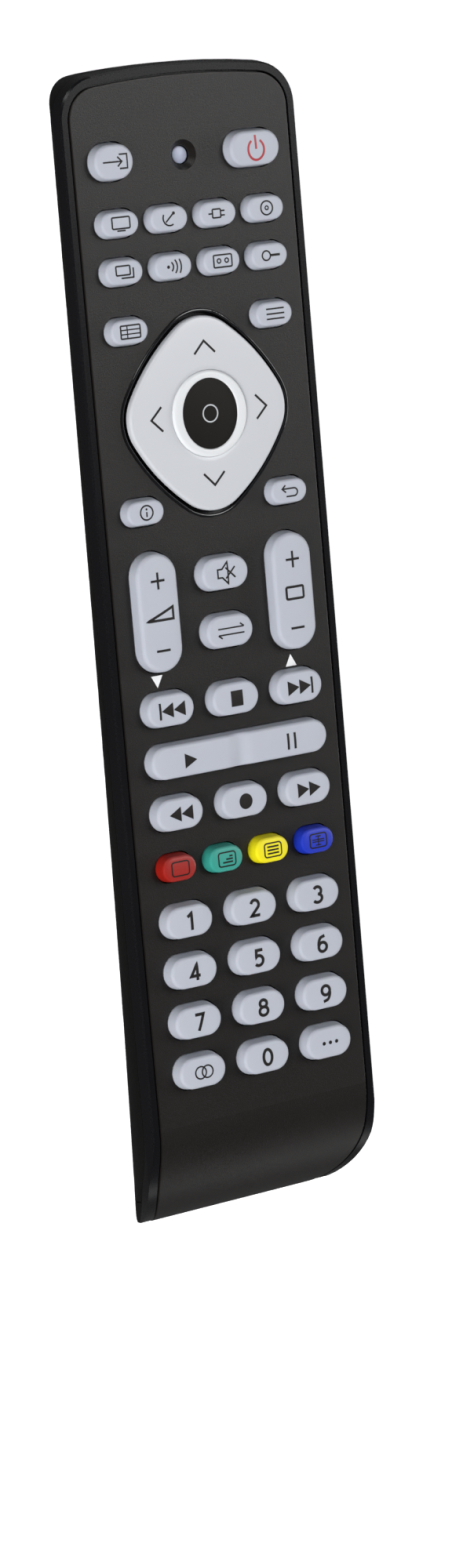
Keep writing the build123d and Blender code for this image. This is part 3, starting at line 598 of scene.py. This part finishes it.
# Plain signs: each a few strokes and fills, in millimetres about its middle
PAGE = loop(round_box(1.9, 1.35, 0.55), 0.28)
ICONS = {
    "input": [
        line([(0.9, 1.3), (2.6, 1.3), (2.6, -1.3), (0.9, -1.3)]),
        line([(-2.6, 0), (1.4, 0)]),
        line([(0.5, 0.9), (1.4, 0), (0.5, -0.9)]),
    ],
    "power": [
        line(arc(0, -0.35, 1.75, 1.95, 122, 418, 40), MEDIUM),
        line([(0, 2.35), (0, -0.25)], MEDIUM),
    ],
    "screen": [loop(round_box(1.9, 1.05, 0.25, 0, 0.2)), line([(-0.9, -1.25), (0.9, -1.25)])],
    "dish": [
        line(arc(-0.1, 0.1, 1.45, 1.4, 150, 300, 18)),
        line([(-1.0, -0.65), (0.65, 0.85)]),
        blot(ring(0.8, 0.95, 0.32, 0.32, 12)),
    ],
    "cable": [
        loop(round_box(0.9, 0.8, 0.2, -0.5, 0)),
        line([(0.4, 0.42), (1.3, 0.42)]),
        line([(0.4, -0.42), (1.3, -0.42)]),
        line([(-1.4, 0), (-2.3, 0)]),
    ],
    "disc": [loop(ring(0, 0, 1.3, 1.3)), loop(ring(0, 0, 0.36, 0.36, 14), 0.24)],
    "screen_two": [
        loop(round_box(1.5, 0.85, 0.2, -0.45, 0.35)),
        line([(-0.9, -1.05), (1.75, -1.05), (1.75, 0.75)]),
    ],
    "waves": [
        blot(ring(-1.3, 0, 0.32, 0.32, 12)),
        line(arc(-1.3, 0, 1.1, 1.1, -50, 50, 12)),
        line(arc(-1.3, 0, 1.95, 1.95, -40, 40, 14)),
        line(arc(-1.3, 0, 2.8, 2.8, -28, 28, 14)),
    ],
    "tape": [
        loop(round_box(2.0, 1.15, 0.25)),
        loop(ring(-0.85, 0.05, 0.4, 0.4, 14), 0.26),
        loop(ring(0.85, 0.05, 0.4, 0.4, 14), 0.26),
    ],
    "jack": [loop(ring(-0.95, 0, 0.9, 0.9)), line([(0.05, 0), (2.1, 0)], BOLD)],
    "grid": [
        loop(round_box(2.1, 1.2, 0.2)),
        line([(-2.1, 0.4), (2.1, 0.4)], 0.24),
        line([(-2.1, -0.4), (2.1, -0.4)], 0.24),
        line([(-0.7, 1.2), (-0.7, -1.2)], 0.24),
    ],
    "lines": [line([(-2.0, level), (2.0, level)]) for level in (0.95, 0, -0.95)],
    "about": [
        loop(ring(0, 0, 1.35, 1.35)),
        line([(0, 0.15), (0, -0.8)]),
        blot(ring(0, 0.65, 0.22, 0.22, 10)),
    ],
    "return": [
        line([(-1.7, 0.5), (0.9, 0.5)] + arc(0.9, -0.25, 0.75, 0.75, 80, -90, 12) + [(-0.9, -1.0)]),
        line([(-0.95, 1.2), (-1.75, 0.5), (-0.95, -0.2)]),
    ],
    "mute": [
        loop([(-1.9, 0.8), (-0.95, 0.8), (0.35, 2.1), (0.35, -2.1), (-0.95, -0.8), (-1.9, -0.8)],
             0.32),
        line([(-0.15, 1.05), (1.95, -1.05)], 0.32),
        line([(-0.15, -1.05), (1.95, 1.05)], 0.32),
    ],
    "last": [
        line([(-2.9, 0.6), (2.8, 0.6)], 0.28),
        line([(2.05, 1.25), (2.9, 0.6)], 0.28),
        line([(2.9, -0.6), (-2.8, -0.6)], 0.28),
        line([(-2.05, -1.25), (-2.9, -0.6)], 0.28),
    ],
    "previous": arrows(-1, True),
    "next": arrows(1, True),
    "rewind": arrows(-1, False),
    "forward": arrows(1, False),
    "stop": [blot([(-1.32, 1.52), (1.32, 1.52), (1.32, -1.52), (-1.32, -1.52)])],
    "record": [blot(ring(0, 0, 1.48, 1.52, 28))],
    "play": [blot(shifted(TRIANGLE_RIGHT, 0, PLAY_STRETCH))],
    "pause": [line([(-0.77, 1.58), (-0.77, -1.58)], 0.5), line([(0.77, 1.58), (0.77, -1.58)], 0.5)],
    "plus": [line([(-1.5, 0), (1.5, 0)], BOLD), line([(0, 1.6), (0, -1.6)], BOLD)],
    "minus": [line([(-1.5, 0), (1.5, 0)], BOLD)],
    "ramp": [loop([(-2.8, -1.1), (2.8, -1.1), (2.8, 1.15)], 0.5)],
    "stack": [loop(round_box(1.9, 1.15, 0.3, 0, -0.1), 0.48)],
    "sound": [loop(ring(-0.75, 0, 1.2, 1.2)), loop(ring(0.75, 0, 1.2, 1.2))],
    "dash": [blot(ring(place, 0, 0.38, 0.38, 12)) for place in (-1.45, 0, 1.45)],
    "page": [PAGE],
    "page_list": [PAGE] + [
        line([(left, level), (1.25, level)], 0.32)
        for level, left in ((0.55, 0.5), (0.0, -0.25), (-0.6, -1.0))
    ],
    "page_full": [PAGE] + [
        line([(-1.3, level), (1.3, level)], 0.34) for level in (0.65, 0.0, -0.65)
    ],
    "page_split": [PAGE] + [
        line(path, 0.22)
        for path in (
            [(-1.35, 0.2), (1.35, 0.2)], [(-1.35, -0.2), (1.35, -0.2)], [(0, 1.0), (0, -1.0)],
            [(-0.6, 0.85), (0.6, 0.85)], [(-0.6, -0.85), (0.6, -0.85)],
        )
    ],
}
for digit, strokes in NUMERALS.items():
    ICONS[digit] = [
        (np.array(path) * NUMERAL_HEIGHT, NUMERAL_STROKE, closed) for path, closed in strokes
    ]


def print_on(node, kind, x, y, name, ink=INK, offset=(0.0, 0.0)):
    """A sign on a key's crown, its middle at offset from the key's."""

    def height_at(flat):
        flat = np.asarray(flat) + np.array(offset)
        level = crown_height(kind, flat)
        if kind == "bar":
            level = level - bar_dip(flat[:, 0])
        return level

    sign = Sign(x + offset[0], y + offset[1], height_at)
    sign.draw(ICONS[name])
    sign.finish(f"{node}_{name}_print", ink, BODY_OF[node], SLOT_OF[node])


# Every single key: node, kind, place and sign
SIMPLE_KEYS = [
    ("input_key", "input", -INPUT_COLUMN, TOP_ROW, "input"),
    ("power_key", "power", POWER_COLUMN, TOP_ROW, "power"),
    ("guide_key", "source", -OUTER_OF_FOUR * SOURCE_PITCH, GUIDE_ROW, "grid"),
    ("menu_key", "source", OUTER_OF_FOUR * SOURCE_PITCH, GUIDE_ROW, "lines"),
    ("info_key", "source", -OUTER_OF_FOUR * SOURCE_PITCH, INFO_ROW, "about"),
    ("back_key", "source", OUTER_OF_FOUR * SOURCE_PITCH, INFO_ROW, "return"),
    ("mute_key", "number", 0.0, MUTE_ROW, "mute"),
    ("last_key", "number", 0.0, LAST_ROW, "last"),
    ("previous_key", "number", -NUMBER_COLUMN, SKIP_ROW, "previous"),
    ("stop_key", "number", 0.0, SKIP_ROW, "stop"),
    ("next_key", "number", NUMBER_COLUMN, SKIP_ROW, "next"),
    ("rewind_key", "number", -NUMBER_COLUMN, WIND_ROW, "rewind"),
    ("record_key", "number", 0.0, WIND_ROW, "record"),
    ("forward_key", "number", NUMBER_COLUMN, WIND_ROW, "forward"),
]
SOURCE_SIGNS = ["screen", "dish", "cable", "disc", "screen_two", "waves", "tape", "jack"]
for index, sign_name in enumerate(SOURCE_SIGNS):
    place = ((index % 4 - OUTER_OF_FOUR) * SOURCE_PITCH, SOURCE_ROWS[index // 4])
    SIMPLE_KEYS.append((f"source_key_{index + 1}", "source", *place, sign_name))
COLOUR_SIGNS = {"red": "page", "green": "page_list", "yellow": "page_full", "blue": "page_split"}
for index, (colour, sign_name) in enumerate(COLOUR_SIGNS.items()):
    place = ((index - OUTER_OF_FOUR) * COLOUR_PITCH, COLOUR_ROW)
    SIMPLE_KEYS.append((f"{colour}_key", "colour", *place, sign_name))
NUMBER_SIGNS = [*"123456789", "sound", "0", "dash"]
for index, sign_name in enumerate(NUMBER_SIGNS):
    place = ((index % 3 - 1) * NUMBER_COLUMN, NUMBER_ROW - index // 3 * NUMBER_PITCH)
    node = f"digit_{sign_name}_key" if sign_name in NUMERALS else f"{sign_name}_key"
    SIMPLE_KEYS.append((node, "number", *place, sign_name))
for node, kind, x, y, sign_name in SIMPLE_KEYS:
    key_cap(node, kind, x, y)
    print_on(node, kind, x, y, sign_name, RED_INK if sign_name == "power" else INK)

# Rocking keys and the long bar, each with its signs and their places from the key's middle
ROCKER_SIGN_X, PLUS_Y, MIDDLE_SIGN_Y, MINUS_Y = -0.15, 6.15, -0.2, -7.1
BAR_SIGN_X, BAR_SIGN_Y = 11.4, -0.15
for node, side, middle_sign in (("volume_key", -1, "ramp"), ("channel_key", 1, "stack")):
    x = side * ROCKER_COLUMN
    key_cap(node, "rocker", x, ROCKER_Y)
    for sign_name, drop in (("plus", PLUS_Y), (middle_sign, MIDDLE_SIGN_Y), ("minus", MINUS_Y)):
        print_on(node, "rocker", x, ROCKER_Y, sign_name, offset=(ROCKER_SIGN_X, drop))
key_cap("play_pause_key", "bar", 0.0, BAR_ROW)
for sign_name, dx in (("play", -BAR_SIGN_X), ("pause", BAR_SIGN_X)):
    print_on("play_pause_key", "bar", 0.0, BAR_ROW, sign_name, offset=(dx, BAR_SIGN_Y))

# White triangles printed on the plate under the two rocking keys; point is 1 for up and -1 for down
MARK_HALF, MARK_FOOT, MARK_TIP = 1.25, 1.15, 1.2
for name, x, y, point in (("down", -15.7, -4.55, -1), ("up", 14.4, -4.9, 1)):
    mark = Sign(x, y, lambda flat: np.zeros(len(flat)))
    foot = -MARK_FOOT * point
    mark.fill([(-MARK_HALF * point, foot), (MARK_HALF * point, foot), (0, MARK_TIP * point)])
    mark.finish(f"plate_{name}_triangle", WHITE_INK, "case", "face_plate")

# Direction pad: a diamond of four corner arcs and four bowed sides
PAD_X, PAD_Y, PAD_CORNER, PAD_SIDE = 17.3, 18.4, 8.6, 40.0
PAD_TOP, PAD_UNDERSIDE, PAD_EDGE, PAD_HOLE, PAD_CROWN = 1.5, -0.3, 0.6, 8.22, 0.3
CORNER_STEPS, SIDE_STEPS, PAD_EDGE_STEPS, PAD_TOP_STEPS = 18, 22, 9, 12
# Inset and height of its underside and wall, then radius and height down the wall of its hole
PAD_SKIRT = [(3.0, -0.25), (0.25, PAD_UNDERSIDE), (0.0, PAD_UNDERSIDE + 0.2), (0.0, 0.25)]
HOLE_LIP = 0.08
HOLE_WALL = [
    (PAD_HOLE + 0.03, PAD_TOP - 0.03), (PAD_HOLE, PAD_TOP - 0.1), (PAD_HOLE, PAD_UNDERSIDE - 2.0)
]


def diamond():
    """Outline points and normals, arc by arc, once round from the lower right."""
    right, top = PAD_X - PAD_CORNER, PAD_Y - PAD_CORNER
    span, reach = math.hypot(right, top), PAD_SIDE - PAD_CORNER
    back = math.sqrt(reach**2 - span**2 / 4)
    centre = np.array([right / 2 - back * top / span, top / 2 - back * right / span])
    low = math.atan2(-centre[1], right - centre[0])
    high = math.atan2(top - centre[1], -centre[0])
    points, normals = [], []
    for centre_point, radius, start, end, count in (
        ((right, 0), PAD_CORNER, -low, low, CORNER_STEPS),
        (centre, PAD_SIDE, low, high, SIDE_STEPS),
        ((0, top), PAD_CORNER, high, math.pi - high, CORNER_STEPS),
        ((-centre[0], centre[1]), PAD_SIDE, math.pi - high, math.pi - low, SIDE_STEPS),
        ((-right, 0), PAD_CORNER, math.pi - low, math.pi + low, CORNER_STEPS),
        (-centre, PAD_SIDE, math.pi + low, math.pi + high, SIDE_STEPS),
        ((0, -top), PAD_CORNER, math.pi + high, 2 * math.pi - high, CORNER_STEPS),
        ((centre[0], -centre[1]), PAD_SIDE, 2 * math.pi - high, 2 * math.pi - low, SIDE_STEPS),
    ):
        angles = np.linspace(start, end, count, endpoint=False)
        normal = np.stack([np.cos(angles), np.sin(angles)], 1)
        points.append(np.array(centre_point) + radius * normal)
        normals.append(normal)
    return np.concatenate(points), np.concatenate(normals)


def pad_height(flat):
    """Height of the pad's top: highest at the collar and falling off gently outward."""
    radius = np.hypot(*np.asarray(flat, float).T)
    return PAD_TOP - PAD_CROWN * np.clip((radius - PAD_HOLE) / (PAD_Y - PAD_HOLE), 0, 1) ** 2


def level_ring(flat, level):
    """One ring of points at one height."""
    return np.column_stack([flat, np.full(len(flat), level)])


outline, normals = diamond()
rings = [level_ring(outline - inset * normals, level) for inset, level in PAD_SKIRT]
for angle in sweep(90, PAD_EDGE_STEPS)[1:]:
    flat = outline - PAD_EDGE * (1 - math.cos(angle)) * normals
    rings.append(np.column_stack([flat, pad_height(flat) - PAD_EDGE * (1 - math.sin(angle))]))
turn = np.arctan2(outline[:, 1], outline[:, 0])
hole = np.stack([np.cos(turn), np.sin(turn)], 1)
outer = outline - PAD_EDGE * normals
for share in np.linspace(0, 1, PAD_TOP_STEPS)[1:]:
    flat = outer + share * ((PAD_HOLE + HOLE_LIP) * hole - outer)
    rings.append(np.column_stack([flat, pad_height(flat)]))
rings += [level_ring(radius * hole, level) for radius, level in HOLE_WALL]
points = np.concatenate(rings) + [0, PAD_ROW, 0]
pad = make_mesh(
    "direction_pad_cap", points, grid_faces(len(rings), len(outline)), MATERIALS["pad_white"],
    BODY_OF["direction_pad"],
)
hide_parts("direction_pad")

# Arrow heads on the pad: each one's place from the pad's middle and the way it points
CHEVRON_HALF, CHEVRON_DEPTH, CHEVRON_STROKE = 2.3, 2.35, 0.42
for name, place, along in (
    ("up", (0.1, 12.5), (0, 1)), ("down", (-0.05, -12.4), (0, -1)),
    ("left", (-11.6, 0.1), (-1, 0)), ("right", (11.6, 0.0), (1, 0)),
):
    along, across = np.array(along), np.array([-along[1], along[0]])
    tip = CHEVRON_DEPTH / 2 * along
    path = [CHEVRON_HALF * across - tip, tip, -CHEVRON_HALF * across - tip]
    mark = Sign(
        place[0], place[1] + PAD_ROW, lambda flat, place=place: pad_height(flat + np.array(place))
    )
    mark.stroke(path, CHEVRON_STROKE)
    mark.finish(f"pad_{name}_chevron", INK, BODY_OF["direction_pad"], "pad_white")


def turned(name, profile, y, finish, body, steps=96):
    """A turned piece: rings of half width, half length and height, ellipses about (0, y)."""
    angles = np.linspace(0, 2 * math.pi, steps, endpoint=False)
    circle = np.stack([np.cos(angles), np.sin(angles)], 1)
    points = np.concatenate(
        [level_ring(circle * [wide, long] + [0.0, y], level) for wide, long, level in profile]
    )
    return make_mesh(name, points, grid_faces(len(profile), steps), finish, body)


def round_rings(pairs):
    """Rings for a turned piece that is truly round, from pairs of radius and height."""
    return [(radius, radius, level) for radius, level in pairs]


# Select key: a soft round collar with a flange under the pad, about a dark oval disc
OK_RADIUS, OK_FOOT, OK_TOP, SHOULDER_STEPS, LIP_STEPS = 8.2, -3.3, 2.05, 10, 7
FLANGE_RADIUS, FLANGE_LOW, FLANGE_TOP = 9.3, -0.9, -0.3
WALL_DROP, SHOULDER_REACH, SHOULDER_DROP = 0.6, 0.75, 0.55
LIP_REACH, LIP_DROP, LIP_SINK = 0.45, 0.3, 0.4
DISC_WIDE, DISC_LONG, DISC_EDGE, DISC_CROWN = 6.05, 6.7, 1.72, 0.12
collar = [
    (OK_RADIUS, OK_FOOT), (OK_RADIUS, FLANGE_LOW), (FLANGE_RADIUS, FLANGE_LOW),
    (FLANGE_RADIUS, FLANGE_TOP), (OK_RADIUS, FLANGE_TOP), (OK_RADIUS, OK_TOP - WALL_DROP),
]
collar += [
    (OK_RADIUS - SHOULDER_REACH * (1 - math.cos(a)),
     OK_TOP - SHOULDER_DROP + SHOULDER_DROP * math.sin(a))
    for a in sweep(90, SHOULDER_STEPS)[1:]
]
collar = round_rings(collar)
for a in sweep(90, LIP_STEPS):
    lip = LIP_REACH * (1 - math.sin(a))
    level = OK_TOP - LIP_DROP + LIP_DROP * math.cos(a)
    collar.append((DISC_WIDE + lip, DISC_LONG + lip, level))
collar.append((DISC_WIDE, DISC_LONG, DISC_EDGE - LIP_SINK))
piece = turned(
    "ok_key_collar", collar, PAD_ROW, MATERIALS["collar_white"], "ok_key"
)
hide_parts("ok_key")


def disc_height(flat):
    """Slight dome of the disc: edge + crown * (1 - (x/wide)^2 - (y/long)^2)."""
    share = np.sum((np.asarray(flat, float) / [DISC_WIDE, DISC_LONG]) ** 2, axis=1)
    return DISC_EDGE + DISC_CROWN * (1 - share)


# The disc's slight dome, and the thin ring printed on it
DISC_SINK, DISC_RINGS, DISC_HUB_SHARE = 0.3, 14, 0.002
DISC_MARK_RADIUS, DISC_MARK_STROKE, DISC_MARK_STEPS = 1.6, 0.26, 48
disc = [(DISC_WIDE, DISC_LONG, DISC_EDGE - DISC_SINK)]
disc += [
    (share * DISC_WIDE, share * DISC_LONG, DISC_EDGE + DISC_CROWN * (1 - share**2))
    for share in np.linspace(1, DISC_HUB_SHARE, DISC_RINGS)
]
piece = turned("ok_disc_face", disc, PAD_ROW, MATERIALS["ok_black"], "ok_key")
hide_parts("ok_disc")
mark = Sign(0.0, PAD_ROW, disc_height)
mark.stroke(
    ring(0, 0, DISC_MARK_RADIUS, DISC_MARK_RADIUS, DISC_MARK_STEPS), DISC_MARK_STROKE, True
)
mark.finish("ok_disc_ring_print", PALE_INK, "ok_key", "ok_black")

# Indicator lamp: a milky lens with a rounded edge and a low dome, deep in its countersunk hole
LENS_RADIUS, LENS_FOOT, LENS_TIP, LENS_EDGE, LENS_DOME = 1.65, -4.0, -0.95, 0.35, 0.2
LENS_EDGE_SWEEP, LENS_EDGE_STEPS, LENS_STEPS = 80, 8, 48
lens_shoulder = LENS_TIP - LENS_DOME
dome = [(LENS_RADIUS, LENS_FOOT)]
dome += [
    (LENS_RADIUS - LENS_EDGE * (1 - math.cos(a)), lens_shoulder - LENS_EDGE * (1 - math.sin(a)))
    for a in sweep(LENS_EDGE_SWEEP, LENS_EDGE_STEPS)
]
inner = dome[-1][0]
dome += [
    (inner * share, LENS_TIP - LENS_DOME * share**2) for share in np.linspace(0.95, 0.01, 9)
]
piece = turned(
    "indicator_lamp_lens", round_rings(dome), TOP_ROW, MATERIALS["lamp"],
    BODY_OF["indicator_lamp"], LENS_STEPS,
)
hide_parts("indicator_lamp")

# Camera as fitted to the key grid: rows are its right, down and forward axes in the face frame
FOCAL_PIXELS, IMAGE_HEIGHT, SENSOR = 5300.0, 2000.0, 36.0
CAMERA_AXES = np.array(
    [[0.84317, -0.08494, 0.5309], [-0.16415, -0.98096, 0.10375], [0.51198, -0.17463, -0.84106]]
)
CAMERA_PLACE = (-409.45, 112.4, 668.5)
right, down, forward = CAMERA_AXES @ TO_ROW
lens = bpy.data.cameras.new("camera")
lens.sensor_width = SENSOR
lens.lens = FOCAL_PIXELS * SENSOR / IMAGE_HEIGHT
lens.clip_start, lens.clip_end = 0.01, 50.0
camera = bpy.data.objects.new("camera", lens)
place = Matrix(np.stack([right, -down, -forward], 1).tolist()).to_4x4()
place.translation = Vector(seated([CAMERA_PLACE])[0])
camera.matrix_world = place
bpy.context.scene.collection.objects.link(camera)
bpy.context.scene.camera = camera


def seen_apart(tree, lit, seen, output):
    """End a tree in two shaders: seen for rays from the camera, lit for all the others."""
    ray = add_node(tree, "ShaderNodeLightPath").outputs["Is Camera Ray"]
    mix = add_node(tree, "ShaderNodeMixShader", {"Fac": ray})
    tree.links.new(lit.outputs[0], mix.inputs[1])
    tree.links.new(seen.outputs[0], mix.inputs[2])
    tree.links.new(mix.outputs[0], add_node(tree, output).inputs["Surface"])


# Plain floor: a dull grey that throws little light up at the object, white to the camera
FLOOR_HALF, FLOOR_LEVEL = 1.0, -0.0001
PAPER_WHITE, PAPER_DULL = (0.86, 0.86, 0.87, 1.0), (0.14, 0.14, 0.14, 1.0)
WHITE, PAPER_LIFT = (1.0, 1.0, 1.0, 1.0), 0.72
floor_mesh = bpy.data.meshes.new("floor")
corners = [
    (x * FLOOR_HALF, y * FLOOR_HALF, FLOOR_LEVEL) for x, y in ((-1, -1), (1, -1), (1, 1), (-1, 1))
]
floor_mesh.from_pydata(corners, [], [(0, 1, 2, 3)])
floor = bpy.data.objects.new("floor", floor_mesh)
bpy.context.scene.collection.objects.link(floor)
paper = bpy.data.materials.new("floor_paper")
tree = bare_tree(paper)
dull = add_node(tree, "ShaderNodeBsdfDiffuse", {"Color": PAPER_DULL})
matt = add_node(tree, "ShaderNodeBsdfDiffuse", {"Color": PAPER_WHITE})
lift = add_node(tree, "ShaderNodeEmission", {"Color": WHITE, "Strength": PAPER_LIFT})
bright = add_node(tree, "ShaderNodeAddShader")
tree.links.new(matt.outputs[0], bright.inputs[0])
tree.links.new(lift.outputs[0], bright.inputs[1])
seen_apart(tree, dull, bright, "ShaderNodeOutputMaterial")
floor_mesh.materials.append(paper)

# The room: a dim pale light all round, and a white backdrop that only the camera sees
ROOM_COLOUR, ROOM_STRENGTH = (0.93, 0.96, 1.0, 1.0), 0.11
world = bpy.data.worlds.new("room")
tree = bare_tree(world)
room = add_node(tree, "ShaderNodeBackground", {"Color": ROOM_COLOUR, "Strength": ROOM_STRENGTH})
backdrop = add_node(tree, "ShaderNodeBackground", {"Color": WHITE, "Strength": 1.0})
seen_apart(tree, room, backdrop, "ShaderNodeOutputWorld")
bpy.context.scene.world = world


def soft_box(name, place, target, size, power, diffuse=True, glossy=True):
    """A rectangular soft light at place, facing target, in metres and watts.

    It can be kept out of diffuse or out of glossy reflection.
    """
    lamp = bpy.data.lights.new(name, "AREA")
    lamp.shape, lamp.size, lamp.size_y = "RECTANGLE", size[0], size[1]
    lamp.energy = power
    box = bpy.data.objects.new(name, lamp)
    box.location = place
    box.rotation_euler = (Vector(target) - Vector(place)).to_track_quat("-Z", "Y").to_euler()
    box.visible_diffuse, box.visible_glossy = diffuse, glossy
    bpy.context.scene.collection.objects.link(box)


# Four boxes fill, three of them without a highlight, and four give highlights alone
soft_box("key_box", (-1.05, -0.2, 0.8), (0, 0, 0), (0.9, 0.9), 21.5, glossy=False)
soft_box("top_box", (0.8, 0.8, 1.25), (0, 0.05, 0), (0.8, 0.6), 5, glossy=False)
soft_box("low_box", (0.3, -1.3, 0.7), (0, -0.1, 0), (1.0, 0.5), 3.6, glossy=False)
soft_box("tail_box", (0.62, -0.85, 0.16), (0, -0.11, 0), (0.5, 0.22), 0.6, diffuse=False)
soft_box("side_box", (1.3, 0.1, 0.35), (0, 0, 0), (0.9, 0.4), 7)
soft_box("sheen_box", (0.8, 0.6, 1.25), (0, 0.05, 0), (0.8, 0.6), 11, diffuse=False)
soft_box("corner_box", (-0.62, 1.05, 0.55), (0, 0.1, 0), (0.3, 0.25), 3, diffuse=False)
soft_box("end_box", (0.62, 1.15, 0.17), (0, 0.11, 0), (0.4, 0.3), 1.5, diffuse=False)

bpy.context.scene.view_settings.view_transform = "Standard"
